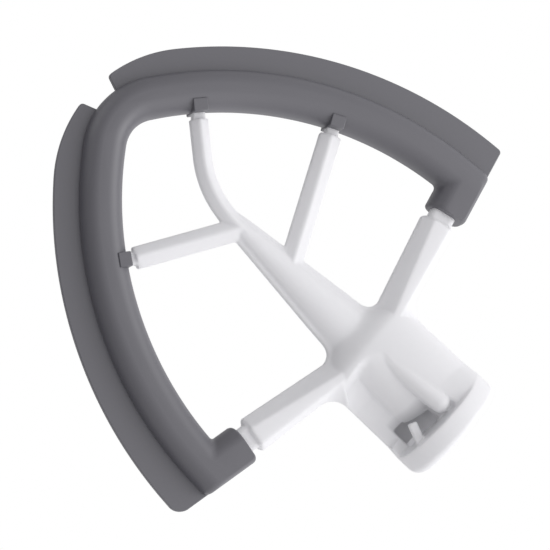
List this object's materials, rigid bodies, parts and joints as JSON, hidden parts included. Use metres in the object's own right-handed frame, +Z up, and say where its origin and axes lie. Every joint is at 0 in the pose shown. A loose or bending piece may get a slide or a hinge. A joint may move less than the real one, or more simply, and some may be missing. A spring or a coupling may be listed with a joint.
{
  "type": "stand mixer flat beater",
  "caption": "Flat beater for a stand mixer: a white coated casting with arms, spine and spokes, and a grey silicone wiper edge round its rim.",
  "frame": {"origin": "centre of the hub's end face, on the axis of the shaft bore", "axes": "+Z up the mixer shaft out of the bore, the blade in the XZ plane, -Y its front"},
  "size_m": [0.1442, 0.0336, 0.1435],
  "materials": {
    "white_coat": "semi-gloss",
    "grey_silicone": "matte"
  },
  "bodies": {
    "root": {"beater_casting": "white_coat", "wiper_edge": "grey_silicone"}
  },
  "joints": []
}
